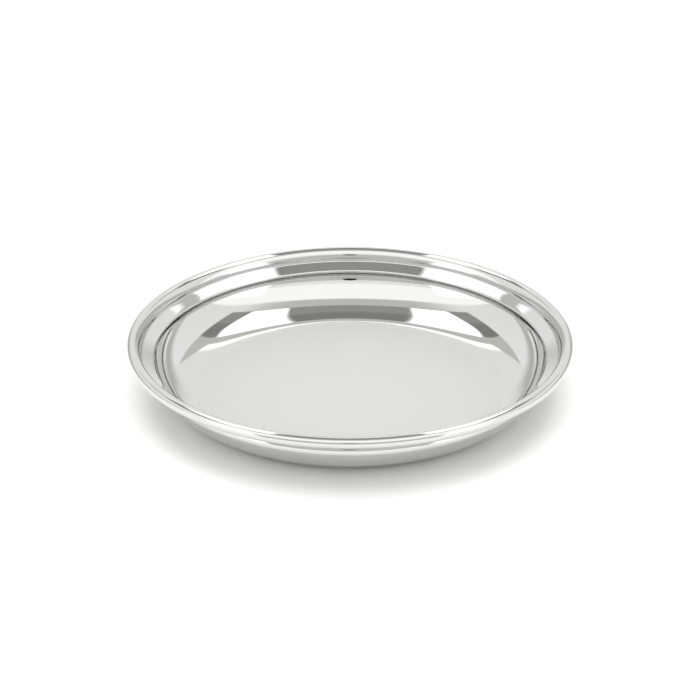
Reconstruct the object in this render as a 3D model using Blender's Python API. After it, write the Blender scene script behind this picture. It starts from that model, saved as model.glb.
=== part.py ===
"""A round polished steel plate: one spun sheet with a flat floor, a belly wall, a stepped neck and a
curled rim, and the stiffening wire that lies inside the curl.

Metres, +Z up. The origin is the middle of the underside, on the surface that the plate stands on.
"""

import math

import bmesh
import bpy

# Driving dimensions
SHEET = 0.0008              # thickness of the steel
FLOOR_RADIUS = 0.08985     # flat part of the floor
HEEL_BEND = 0.0454          # bend radius between floor and wall
WALL_BEND = 0.0326          # long curve of the belly wall
THROAT_BEND = 0.00385       # tight curve that turns the wall back inward under the step
STEP_BEND = 0.0013          # rounded nose of the step
NECK_LENGTH = 0.00714       # sloping ledge between the step and the rim
CREASE_BEND = 0.0010        # bend where the ledge meets the rim
RIM_FLANK_BEND = 0.0090     # steep inner side of the curl
RIM_TOP_BEND = 0.0051       # top of the curl
RIM_SIDE_BEND = 0.0035      # outer and lower side of the curl
WIRE_GAP = 0.0004           # play between the wire and the curl

# Slopes of the sheet, in degrees from level, on the way out from the middle
HEEL_SLOPE = 22.98
WALL_SLOPE = 64.98
THROAT_SLOPE = 140.0
NECK_SLOPE = 25.0
CREASE_SLOPE = 89.0
RIM_FLANK_SLOPE = 55.0
CURL_END_SLOPE = -245.0

# Resolution
SEGMENTS = 64               # facets round the plate
WIRE_SIDES = 12             # facets round the wire
ARC_STEP = 18.0             # degrees of bend for each facet of the section
LEAST_STEPS = 3             # facets in the slightest bend

STEEL = (0.74, 0.74, 0.73, 1.0)
WIRE_STEEL = (0.52, 0.52, 0.50, 1.0)


def clear_scene():
    for item in list(bpy.data.objects):
        bpy.data.objects.remove(item, do_unlink=True)


def metal(name, colour, roughness):
    material = bpy.data.materials.new(name)
    material.use_nodes = True
    shader = material.node_tree.nodes["Principled BSDF"]
    shader.inputs["Base Color"].default_value = colour
    shader.inputs["Metallic"].default_value = 1.0
    shader.inputs["Roughness"].default_value = roughness
    return material


def bend(path, radius, slope_to):
    """Carries the path round an arc of the given radius until it has the given slope."""
    x, z, slope = path[-1]
    turn = math.radians(slope_to) - slope
    side = math.copysign(radius, turn)
    centre_x = x - side * math.sin(slope)
    centre_z = z + side * math.cos(slope)
    steps = max(LEAST_STEPS, round(abs(math.degrees(turn)) / ARC_STEP))
    for i in range(1, steps + 1):
        angle = slope + turn * i / steps
        path.append((centre_x + side * math.sin(angle), centre_z - side * math.cos(angle), angle))


def straight(path, length):
    x, z, slope = path[-1]
    path.append((x + length * math.cos(slope), z + length * math.sin(slope), slope))


def sheet_path():
    """The sheet's upper face in section, from the middle of the floor to the free edge of the curl."""
    path = [(0.0, SHEET, 0.0)]
    straight(path, FLOOR_RADIUS)
    bend(path, HEEL_BEND, HEEL_SLOPE)
    bend(path, WALL_BEND, WALL_SLOPE)
    bend(path, THROAT_BEND, THROAT_SLOPE)
    bend(path, STEP_BEND, NECK_SLOPE)
    straight(path, NECK_LENGTH)
    bend(path, CREASE_BEND, CREASE_SLOPE)
    bend(path, RIM_FLANK_BEND, RIM_FLANK_SLOPE)
    bend(path, RIM_TOP_BEND, 0.0)
    bend(path, RIM_SIDE_BEND, CURL_END_SLOPE)
    return path


def sheet_outline(path):
    """Closed section of the sheet: along its upper face, round the free edge and back underneath."""
    upper = [(x, z) for x, z, slope in path]
    lower = [(x + SHEET * math.sin(slope), z - SHEET * math.cos(slope)) for x, z, slope in path]
    return upper + lower[::-1]


def turned(name, section, closed, material):
    """Spins a section in the XZ plane once round the Z axis into one closed body."""
    mesh = bpy.data.meshes.new(name)
    work = bmesh.new()
    points = [work.verts.new((x, 0.0, z)) for x, z in section]
    edges = [work.edges.new(pair) for pair in zip(points, points[1:])]
    if closed:
        edges.append(work.edges.new((points[-1], points[0])))
    bmesh.ops.spin(
        work,
        geom=points + edges,
        cent=(0.0, 0.0, 0.0),
        axis=(0.0, 0.0, 1.0),
        angle=math.tau,
        steps=SEGMENTS,
        use_merge=True,
    )
    bmesh.ops.remove_doubles(work, verts=work.verts, dist=1e-7)
    bmesh.ops.recalc_face_normals(work, faces=work.faces)
    work.to_mesh(mesh)
    work.free()
    mesh.shade_smooth()
    mesh.set_sharp_from_angle(angle=math.radians(40.0))
    mesh.materials.append(material)
    body = bpy.data.objects.new(name, mesh)
    bpy.context.scene.collection.objects.link(body)
    return body


def rim_top_index(path):
    """The place in the path where the curl is level at its highest point."""
    return max(range(len(path)), key=lambda i: path[i][1])


def make_dish(path):
    turned("pressed_dish", sheet_outline(path), False, metal("polished_steel", STEEL, 0.08))


def make_wire(path):
    """A round wire, centred on the curl's outer bend."""
    top_x, top_z, _ = path[rim_top_index(path)]
    centre_z = top_z - RIM_SIDE_BEND
    radius = RIM_SIDE_BEND - SHEET - WIRE_GAP
    section = []
    for i in range(WIRE_SIDES):
        angle = math.tau * i / WIRE_SIDES
        section.append((top_x + radius * math.cos(angle), centre_z + radius * math.sin(angle)))
    turned("rim_wire", section, True, metal("drawn_wire", WIRE_STEEL, 0.35))


def main():
    clear_scene()
    path = sheet_path()
    make_dish(path)
    make_wire(path)


main()
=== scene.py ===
"""The polished plate as it is seen: a finely spun steel dish over the CAD frame, on a pale table
under soft studio light. Metres, +Z up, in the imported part's own frame."""
import math
from types import SimpleNamespace

import bmesh
import bpy
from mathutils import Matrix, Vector

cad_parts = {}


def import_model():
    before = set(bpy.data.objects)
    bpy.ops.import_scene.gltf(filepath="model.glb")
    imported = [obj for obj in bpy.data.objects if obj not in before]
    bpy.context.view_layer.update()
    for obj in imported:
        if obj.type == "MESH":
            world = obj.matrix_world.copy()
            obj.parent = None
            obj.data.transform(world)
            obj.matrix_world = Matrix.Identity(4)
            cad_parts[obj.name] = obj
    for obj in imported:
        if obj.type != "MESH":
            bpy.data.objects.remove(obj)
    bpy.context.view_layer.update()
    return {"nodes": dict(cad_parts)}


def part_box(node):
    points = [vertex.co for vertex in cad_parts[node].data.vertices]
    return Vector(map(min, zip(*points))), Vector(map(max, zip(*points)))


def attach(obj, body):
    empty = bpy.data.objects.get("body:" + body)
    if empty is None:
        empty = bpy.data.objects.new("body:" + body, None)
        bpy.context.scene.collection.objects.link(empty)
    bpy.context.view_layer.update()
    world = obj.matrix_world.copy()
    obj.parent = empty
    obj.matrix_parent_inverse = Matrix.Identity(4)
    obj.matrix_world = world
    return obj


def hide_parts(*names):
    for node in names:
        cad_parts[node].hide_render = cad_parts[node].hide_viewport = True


# The sheet's section, the same as the CAD part's
SHEET = 0.0008
FLOOR_RADIUS = 0.08985
HEEL_BEND = 0.0454
WALL_BEND = 0.0326
THROAT_BEND = 0.00385
STEP_BEND = 0.0013
NECK_LENGTH = 0.00714
CREASE_BEND = 0.0010
RIM_FLANK_BEND = 0.0090
RIM_TOP_BEND = 0.0051
RIM_SIDE_BEND = 0.0035
HEEL_SLOPE = 22.98
WALL_SLOPE = 64.98
THROAT_SLOPE = 140.0
NECK_SLOPE = 25.0
CREASE_SLOPE = 89.0
RIM_FLANK_SLOPE = 55.0
CURL_END_SLOPE = -245.0

# Resolution of the spun dish
SEGMENTS = 360
ARC_STEP = 5.0              # degrees of bend for each facet of the section
LONGEST_FACET = 0.0025
LEAST_STEPS = 4             # facets in the slightest bend
FLOOR_RINGS = 10
NECK_RINGS = 4
FREE_EDGE_STEPS = 4
WELD = 1e-7                 # points closer than this are one point

# Polished steel: colours, then sizes of the marks in cells per metre or per radian
POLISHED_TONES = ((0.640, 0.640, 0.628, 1.0), (0.675, 0.675, 0.663, 1.0))
SATIN_TONES = ((0.672, 0.672, 0.660, 1.0), (0.692, 0.692, 0.680, 1.0))
SPECK_TONE = (0.30, 0.29, 0.27, 1.0)
SATIN_EDGE = (0.0966, 0.0976)       # the satin floor turns into the polished wall between these radii
SATIN_METALLIC = 0.25
POLISHED_ROUGHNESS = (0.020, 0.050)
SATIN_ROUGHNESS = (0.48, 0.56)
FINE_RINGS = (2600.0, 1.2)
BROAD_RINGS = (240.0, 0.6)
HAIR_CELLS = (60.0, 9.0)
HAIR_SCALE = 3.0
HAIR_WIDTH = 0.006                  # of a cell
SPECK_CELLS = 70.0
CLOUD_CELLS = 16.0
WORN_CELLS = 40.0
WAVE_CELLS = 22.0

# Drawn wire
WIRE_TONES = ((0.46, 0.455, 0.44, 1.0), (0.56, 0.555, 0.54, 1.0))
WIRE_ROUGHNESS = (0.28, 0.45)
WIRE_LINES = (5000.0, 3.0)
STAIN_CELLS = 30.0

# Table
TABLE_HALF_SIZE = 4.0
TABLE_TONES = ((0.900, 0.900, 0.898, 1.0), (0.920, 0.920, 0.918, 1.0))
TABLE_ROUGHNESS = (0.65, 0.75)
TABLE_PAINTED_LIGHT = 0.30                   # painted light: the table glows away from the plate, which lightens the plate's shadow there
TABLE_PAINTED_LIGHT_RADII = (0.122, 0.150)   # the painted glow rises from none, leaving painted shade next to the plate, to all of it between these radii
MOTTLE_CELLS = 9.0
PAPER_CELLS = 300.0

# Strength of each part of the studio's light
TENT_LIGHT = 1.15
TENT_SIDE_SHARE = 0.92
OVERHEAD_LIGHT = 1.42
SEAM_LIGHT = 0.72
OPENING_FRONT_LIGHT = 0.40
OPENING_LIGHT = 0.30
OPENING_BACK_LIGHT = 0.72
LAMP_LIGHT = 2.6
BACKDROP_LIGHT = 1.06
BACKDROP_EDGE_LIGHT = 1.7
LOW_SIDE_LIGHT = 0.62
ROOM_LIGHT = 0.72
WING_LIGHT = 1.8
STAND_LIGHT = 0.03
LENS_LIGHT = 0.02
WHITE = (1.0, 1.0, 1.0, 1.0)
DUSK = (1.0, 1.0, 0.955, 1.0)       # the opening's slightly warm dimness

# Camera
CAMERA_DISTANCE = 1.6
CAMERA_ELEVATION = 26.135
CAMERA_LENS = 130.98
CAMERA_SENSOR = 36.0
CAMERA_CLIP = (0.05, 60.0)
TARGET_BELOW_TOP = 0.0104
LENS_RIM = (4.2, 3.4)       # outer and inner edge of its dark disc, in degrees off the line to it


# ---------------------------------------------------------------- section
def bend(path, radius, slope_to):
    """Carries the path round an arc of the given radius until it has the given slope."""
    x, z, slope = path[-1]
    turn = math.radians(slope_to) - slope
    side = math.copysign(radius, turn)
    centre_x = x - side * math.sin(slope)
    centre_z = z + side * math.cos(slope)
    by_angle = abs(math.degrees(turn)) / ARC_STEP
    by_length = abs(turn) * radius / LONGEST_FACET
    steps = max(LEAST_STEPS, round(by_angle), round(by_length))
    for i in range(1, steps + 1):
        angle = slope + turn * i / steps
        path.append((centre_x + side * math.sin(angle), centre_z - side * math.cos(angle), angle))


def straight(path, length, steps):
    """Carries the path on in a straight line."""
    x, z, slope = path[-1]
    for i in range(1, steps + 1):
        run = length * i / steps
        path.append((x + run * math.cos(slope), z + run * math.sin(slope), slope))


def sheet_path():
    """The sheet's upper face in section, from the middle of the floor to the free edge of the curl."""
    path = [(0.0, SHEET, 0.0)]
    straight(path, FLOOR_RADIUS, FLOOR_RINGS)
    bend(path, HEEL_BEND, HEEL_SLOPE)
    bend(path, WALL_BEND, WALL_SLOPE)
    bend(path, THROAT_BEND, THROAT_SLOPE)
    bend(path, STEP_BEND, NECK_SLOPE)
    straight(path, NECK_LENGTH, NECK_RINGS)
    bend(path, CREASE_BEND, CREASE_SLOPE)
    bend(path, RIM_FLANK_BEND, RIM_FLANK_SLOPE)
    bend(path, RIM_TOP_BEND, 0.0)
    bend(path, RIM_SIDE_BEND, CURL_END_SLOPE)
    return path


def sheet_outline(path):
    """Along the sheet's upper face, round its rolled free edge and back along its underside."""
    upper = [(x, z) for x, z, slope in path]
    lower = [(x + SHEET * math.sin(slope), z - SHEET * math.cos(slope)) for x, z, slope in path]
    x, z, slope = path[-1]
    half = SHEET / 2
    middle_x = x + half * math.sin(slope)
    middle_z = z - half * math.cos(slope)
    edge = []
    for i in range(1, FREE_EDGE_STEPS):
        angle = slope + math.pi / 2 - math.pi * i / FREE_EDGE_STEPS
        edge.append((middle_x + half * math.cos(angle), middle_z + half * math.sin(angle)))
    return upper + edge + lower[::-1]


# ---------------------------------------------------------------- meshes
def spin(name, section):
    """Spins a section in the XZ plane once round the Z axis into one smooth closed body."""
    work = bmesh.new()
    points = [work.verts.new((x, 0.0, z)) for x, z in section]
    edges = [work.edges.new(pair) for pair in zip(points, points[1:])]
    bmesh.ops.spin(
        work,
        geom=points + edges,
        cent=(0.0, 0.0, 0.0),
        axis=(0.0, 0.0, 1.0),
        angle=math.tau,
        steps=SEGMENTS,
        use_merge=True,
    )
    bmesh.ops.remove_doubles(work, verts=work.verts, dist=WELD)
    bmesh.ops.recalc_face_normals(work, faces=work.faces)
    mesh = bpy.data.meshes.new(name)
    work.to_mesh(mesh)
    work.free()
    mesh.shade_smooth()
    body = bpy.data.objects.new(name, mesh)
    bpy.context.scene.collection.objects.link(body)
    return body


def plane(name, half_size, height):
    mesh = bpy.data.meshes.new(name)
    corners = [(-1, -1), (1, -1), (1, 1), (-1, 1)]
    mesh.from_pydata([(x * half_size, y * half_size, height) for x, y in corners], [], [(0, 1, 2, 3)])
    body = bpy.data.objects.new(name, mesh)
    bpy.context.scene.collection.objects.link(body)
    return body


# ---------------------------------------------------------------- node helpers
class Nodes:
    """A short way to write a node tree: every call adds nodes and gives their output."""

    def __init__(self, tree):
        self.tree = tree
        self.links = tree.links

    def add(self, kind, **settings):
        node = self.tree.nodes.new(kind)
        for key, value in settings.items():
            setattr(node, key, value)
        return node

    def feed(self, socket, value):
        if isinstance(value, bpy.types.NodeSocket):
            self.links.new(value, socket)
        else:
            socket.default_value = value

    def math(self, operation, a, b=0.0):
        node = self.add("ShaderNodeMath", operation=operation)
        self.feed(node.inputs[0], a)
        self.feed(node.inputs[1], b)
        return node.outputs[0]

    def product(self, first, *others):
        for other in others:
            first = self.math("MULTIPLY", first, other)
        return first

    def ramp(self, value, low, high, out_low=0.0, out_high=1.0):
        """Smooth step from out_low, where value is low, to out_high, where it is high."""
        node = self.add("ShaderNodeMapRange", interpolation_type="SMOOTHSTEP")
        for socket, item in zip(node.inputs, (value, low, high, out_low, out_high)):
            self.feed(socket, item)
        return node.outputs["Result"]

    def band(self, value, low, high, soft):
        """1 between low and high, 0 outside, with soft edges."""
        rise = self.ramp(value, low - soft, low + soft)
        fall = self.ramp(value, high - soft, high + soft, 1.0, 0.0)
        return self.math("MULTIPLY", rise, fall)

    def lerp(self, factor, a, b):
        node = self.add("ShaderNodeMix", data_type="FLOAT")
        self.feed(node.inputs[0], factor)
        self.feed(node.inputs[2], a)
        self.feed(node.inputs[3], b)
        return node.outputs[0]

    def tint(self, factor, a, b):
        node = self.add("ShaderNodeMix", data_type="RGBA")
        self.feed(node.inputs[0], factor)
        self.feed(node.inputs[6], a)
        self.feed(node.inputs[7], b)
        return node.outputs[2]

    def noise(self, vector, scale, detail=3.0, distortion=0.0):
        node = self.add("ShaderNodeTexNoise")
        self.feed(node.inputs["Vector"], vector)
        self.feed(node.inputs["Scale"], scale)
        self.feed(node.inputs["Detail"], detail)
        self.feed(node.inputs["Distortion"], distortion)
        return node.outputs["Fac"]

    def cells(self, feature, vector, scale):
        """Distance inside random cells: from the cell's middle (F1) or from its edge."""
        node = self.add("ShaderNodeTexVoronoi", feature=feature)
        self.feed(node.inputs["Vector"], vector)
        self.feed(node.inputs["Scale"], scale)
        return node.outputs["Distance"]

    def split(self, vector):
        node = self.add("ShaderNodeSeparateXYZ")
        self.feed(node.inputs[0], vector)
        return node.outputs

    def join(self, x, y, z):
        node = self.add("ShaderNodeCombineXYZ")
        for socket, item in zip(node.inputs, (x, y, z)):
            self.feed(socket, item)
        return node.outputs[0]

    def bump(self, height, strength, distance, normal=None):
        node = self.add("ShaderNodeBump")
        self.feed(node.inputs["Strength"], strength)
        self.feed(node.inputs["Distance"], distance)
        self.feed(node.inputs["Height"], height)
        if normal is not None:
            self.feed(node.inputs["Normal"], normal)
        return node.outputs[0]


def new_material(name):
    material = bpy.data.materials.new(name)
    material.use_nodes = True
    return material, Nodes(material.node_tree), material.node_tree.nodes["Principled BSDF"]


def turned_coordinates(n):
    """Object-space position with its radius, height and turning angle."""
    position = n.add("ShaderNodeTexCoord").outputs["Object"]
    x, y, z = n.split(position)
    radius = n.math("SQRT", n.math("ADD", n.math("MULTIPLY", x, x), n.math("MULTIPLY", y, y)))
    angle = n.math("ARCTAN2", y, x)
    return position, radius, z, angle


def turned_vector(n, radius, angle, third, cells):
    """Texture space that runs along the rings of the spinning: cells per metre out and per radian round."""
    across, around = cells
    return n.join(n.math("MULTIPLY", radius, across), n.math("MULTIPLY", angle, around), third)


# ---------------------------------------------------------------- finishes
def polished_steel():
    material, n, shader = new_material("polished_steel_finish")
    position, radius, height, angle = turned_coordinates(n)
    floor = n.ramp(radius, *SATIN_EDGE, 1.0, 0.0)

    # Marks of the spinning: fine rings of uneven depth that break up round the plate
    rings = n.noise(turned_vector(n, radius, angle, height, FINE_RINGS), 1.0, 4.0)
    broad_rings = n.noise(turned_vector(n, radius, angle, height, BROAD_RINGS), 1.0, 2.0)
    # Use: hair scratches, a faint cloudiness and a few specks
    cloud = n.noise(position, CLOUD_CELLS, 4.0, 0.6)
    hair = n.cells("DISTANCE_TO_EDGE", turned_vector(n, radius, angle, cloud, HAIR_CELLS), HAIR_SCALE)
    worn = n.ramp(n.noise(position, WORN_CELLS, 2.0), 0.56, 0.66)
    hairline = n.product(n.ramp(hair, 0.0, HAIR_WIDTH, 1.0, 0.0), worn)
    speck = n.ramp(n.cells("F1", position, SPECK_CELLS), 0.012, 0.03, 1.0, 0.0)

    tone = n.tint(cloud, *POLISHED_TONES)
    tone = n.tint(n.math("MULTIPLY", speck, 0.35), tone, SPECK_TONE)
    tone = n.tint(floor, tone, n.tint(rings, *SATIN_TONES))
    n.feed(shader.inputs["Base Color"], tone)
    n.feed(shader.inputs["Metallic"], n.lerp(floor, 1.0, SATIN_METALLIC))

    mirror = n.ramp(cloud, 0.3, 0.7, *POLISHED_ROUGHNESS)
    satin = n.ramp(rings, 0.3, 0.7, *SATIN_ROUGHNESS)
    roughness = n.lerp(floor, mirror, satin)
    roughness = n.math("ADD", roughness, n.math("MULTIPLY", hairline, 0.06))
    roughness = n.math("ADD", roughness, n.math("MULTIPLY", speck, 0.15))
    n.feed(shader.inputs["Roughness"], roughness)

    wave = n.bump(n.noise(position, WAVE_CELLS, 1.0), 0.10, 0.0004)
    ring_depth = n.bump(n.math("ADD", rings, n.math("MULTIPLY", broad_rings, 2.0)), 0.05, 0.00002, wave)
    scratched = n.bump(n.math("MULTIPLY", hairline, -1.0), 0.06, 0.00002, ring_depth)
    n.feed(shader.inputs["Normal"], scratched)
    return material


def drawn_wire():
    material, n, shader = new_material("drawn_wire_finish")
    position, radius, height, angle = turned_coordinates(n)
    up = n.math("MULTIPLY", height, WIRE_LINES[0])
    lines = n.noise(turned_vector(n, radius, angle, up, WIRE_LINES), 1.0, 3.0)
    stain = n.noise(position, STAIN_CELLS, 4.0, 0.4)
    n.feed(shader.inputs["Base Color"], n.tint(stain, *WIRE_TONES))
    n.feed(shader.inputs["Metallic"], 1.0)
    n.feed(shader.inputs["Roughness"], n.ramp(lines, 0.2, 0.8, *WIRE_ROUGHNESS))
    n.feed(shader.inputs["Normal"], n.bump(lines, 0.3, 0.00005))
    return material


def pale_table():
    material, n, shader = new_material("pale_table_with_painted_light")
    position, radius, height, angle = turned_coordinates(n)
    mottle = n.noise(position, MOTTLE_CELLS, 4.0)
    n.feed(shader.inputs["Base Color"], n.tint(mottle, *TABLE_TONES))
    # Painted light: the table glows white away from the plate and not beside it, a painted lift of the
    # plate's shadow with painted shade at its foot
    n.feed(shader.inputs["Emission Color"], WHITE)
    n.feed(shader.inputs["Emission Strength"], n.ramp(radius, *TABLE_PAINTED_LIGHT_RADII, 0.0, TABLE_PAINTED_LIGHT))
    n.feed(shader.inputs["Roughness"], n.ramp(mottle, 0.3, 0.7, *TABLE_ROUGHNESS))
    n.feed(shader.inputs["Specular IOR Level"], 0.1)
    n.feed(shader.inputs["Normal"], n.bump(n.noise(position, PAPER_CELLS, 2.0), 0.05, 0.0001))
    return material


# ---------------------------------------------------------------- studio
def sky_directions(n):
    """Which way a ray leaves the plate. 'rise' runs in degrees from the horizon behind the plate (0),
    over the zenith (90), to the horizon behind the camera (180); 'aside' is the angle off that line.
    'over' is where the ray meets a ceiling one unit up, and 'back' a wall one unit behind the plate."""
    direction = n.add("ShaderNodeTexCoord").outputs["Generated"]
    x, y, z = n.split(direction)
    rise = n.math("DEGREES", n.math("ARCTAN2", z, y))
    rise = n.math("ADD", rise, n.math("MULTIPLY", n.math("LESS_THAN", rise, -90.0), 360.0))
    height = n.math("MAXIMUM", z, 0.02)
    depth = n.math("MAXIMUM", y, 0.02)
    return SimpleNamespace(
        direction=direction,
        rise=rise,
        aside=n.math("ABSOLUTE", n.math("DEGREES", n.math("ARCSINE", x))),
        over_x=n.math("DIVIDE", n.math("ABSOLUTE", x), height),
        over_y=n.math("DIVIDE", y, height),
        back_x=n.math("DIVIDE", n.math("ABSOLUTE", x), depth),
        back_z=n.math("DIVIDE", z, depth),
        behind=n.ramp(y, 0.02, 0.06),
    )


def tent_light(n, ray):
    """The white tent, brighter overhead in front, with a dimmer seam where it is joined."""
    light = n.math("MULTIPLY", TENT_LIGHT, n.ramp(ray.aside, 0.0, 90.0, 1.0, TENT_SIDE_SHARE))
    light = n.lerp(n.band(ray.rise, 104.0, 143.0, 4.0), light, OVERHEAD_LIGHT)
    seam = n.product(n.band(ray.rise, 88.0, 106.0, 2.5), n.ramp(ray.aside, 20.0, 50.0, 1.0, 0.0))
    return n.lerp(seam, light, SEAM_LIGHT)


def opening_area(n, ray):
    """The opening in the tent's top."""
    return n.product(n.band(ray.over_y, 0.02, 3.0, 0.02), n.ramp(ray.over_x, 1.00, 1.10, 1.0, 0.0))


def opening_light(n, ray):
    """What shows in the opening: dim at its front, darker in the middle, and grey towards the back."""
    light = n.ramp(ray.over_y, 0.30, 0.45, OPENING_FRONT_LIGHT, OPENING_LIGHT)
    return n.lerp(n.ramp(ray.over_y, 0.73, 0.78), light, OPENING_BACK_LIGHT)


def lamp_area(n, ray):
    """The two lamps that hang in the opening, with slanting inner edges and cut outer corners."""
    inner_edge = n.math("SUBTRACT", 0.34, n.math("MULTIPLY", ray.over_y, 0.28))
    past_edge = n.ramp(n.math("SUBTRACT", ray.over_x, inner_edge), -0.02, 0.02)
    corner = n.math("ADD", ray.over_x, n.math("MULTIPLY", ray.over_y, 0.45))
    return n.product(
        n.band(ray.over_y, 0.04, 0.76, 0.03),
        n.ramp(ray.over_x, 0.62, 0.68, 1.0, 0.0),
        past_edge,
        n.ramp(corner, 0.84, 0.94, 1.0, 0.0),
    )


def backdrop_area(n, ray):
    across = n.ramp(ray.back_x, 0.55, 0.60, 1.0, 0.0)
    upward = n.ramp(ray.back_z, 1.02, 1.08, 1.0, 0.0)
    return n.product(across, upward, ray.behind)


def backdrop_light(n, ray, backdrop, light):
    """The backdrop, with a bright upper edge and duller low sides."""
    light = n.lerp(backdrop, light, n.ramp(ray.back_z, 0.86, 0.96, BACKDROP_LIGHT, BACKDROP_EDGE_LIGHT))
    low = n.ramp(ray.back_z, 0.30, 0.50, 1.0, 0.0)
    low_side = n.product(low, n.ramp(ray.back_x, 0.10, 0.44), ray.behind)
    return n.lerp(low_side, light, LOW_SIDE_LIGHT)


def room_light(n, ray, light):
    """The room behind the camera, two dark stands at its sides, and the lamps beyond them."""
    room = n.product(n.band(ray.rise, 151.0, 215.0, 1.0), n.ramp(ray.aside, 40.0, 47.0, 1.0, 0.0))
    light = n.lerp(room, light, ROOM_LIGHT)
    wings = n.product(n.band(ray.rise, 125.0, 200.0, 3.0), n.band(ray.aside, 45.0, 70.0, 2.0))
    light = n.lerp(wings, light, WING_LIGHT)
    stands = n.product(n.band(ray.rise, 176.0, 196.0, 1.0), n.band(ray.aside, 37.0, 43.0, 1.0))
    return n.lerp(stands, light, STAND_LIGHT)


def lens_area(n, ray):
    """The dark disc of the camera's own lens."""
    tilt = math.radians(CAMERA_ELEVATION)
    toward = n.add("ShaderNodeVectorMath", operation="DOT_PRODUCT")
    n.feed(toward.inputs[0], ray.direction)
    n.feed(toward.inputs[1], (0.0, -math.cos(tilt), math.sin(tilt)))
    outer, inner = (math.cos(math.radians(angle)) for angle in LENS_RIM)
    return n.ramp(toward.outputs["Value"], outer, inner)


def studio_sky():
    """The room as the plate reflects it."""
    world = bpy.data.worlds.new("studio")
    bpy.context.scene.world = world
    world.use_nodes = True
    n = Nodes(world.node_tree)
    ray = sky_directions(n)
    opening = opening_area(n, ray)
    lamps = lamp_area(n, ray)
    backdrop = backdrop_area(n, ray)

    light = n.lerp(opening, tent_light(n, ray), opening_light(n, ray))
    light = n.lerp(lamps, light, LAMP_LIGHT)
    light = backdrop_light(n, ray, backdrop, light)
    light = room_light(n, ray, light)
    light = n.lerp(lens_area(n, ray), light, LENS_LIGHT)

    unlit = n.product(opening, n.math("SUBTRACT", 1.0, n.math("MAXIMUM", lamps, backdrop)))
    background = world.node_tree.nodes["Background"]
    n.feed(background.inputs["Color"], n.tint(unlit, WHITE, DUSK))
    n.feed(background.inputs["Strength"], light)


def camera_rig(top):
    tilt = math.radians(CAMERA_ELEVATION)
    target = Vector((0.0, 0.0, top - TARGET_BELOW_TOP))
    data = bpy.data.cameras.new("camera")
    data.sensor_width = CAMERA_SENSOR
    data.lens = CAMERA_LENS
    data.clip_start, data.clip_end = CAMERA_CLIP
    rig = bpy.data.objects.new("camera", data)
    rig.location = target + CAMERA_DISTANCE * Vector((0.0, -math.cos(tilt), math.sin(tilt)))
    rig.rotation_euler = (target - rig.location).to_track_quat("-Z", "Y").to_euler()
    bpy.context.scene.collection.objects.link(rig)
    bpy.context.scene.camera = rig


def main():
    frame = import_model()
    low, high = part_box("pressed_dish")

    dish = spin("spun_dish", sheet_outline(sheet_path()))
    dish.data.materials.append(polished_steel())
    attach(dish, "root")
    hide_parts("pressed_dish")

    wire = frame["nodes"]["rim_wire"]
    wire.data.materials.clear()
    wire.data.materials.append(drawn_wire())
    wire.data.shade_smooth()

    table = plane("table_top", TABLE_HALF_SIZE, low.z)
    table.data.materials.append(pale_table())

    studio_sky()
    camera_rig(high.z)
    bpy.context.scene.view_settings.view_transform = "Standard"


main()
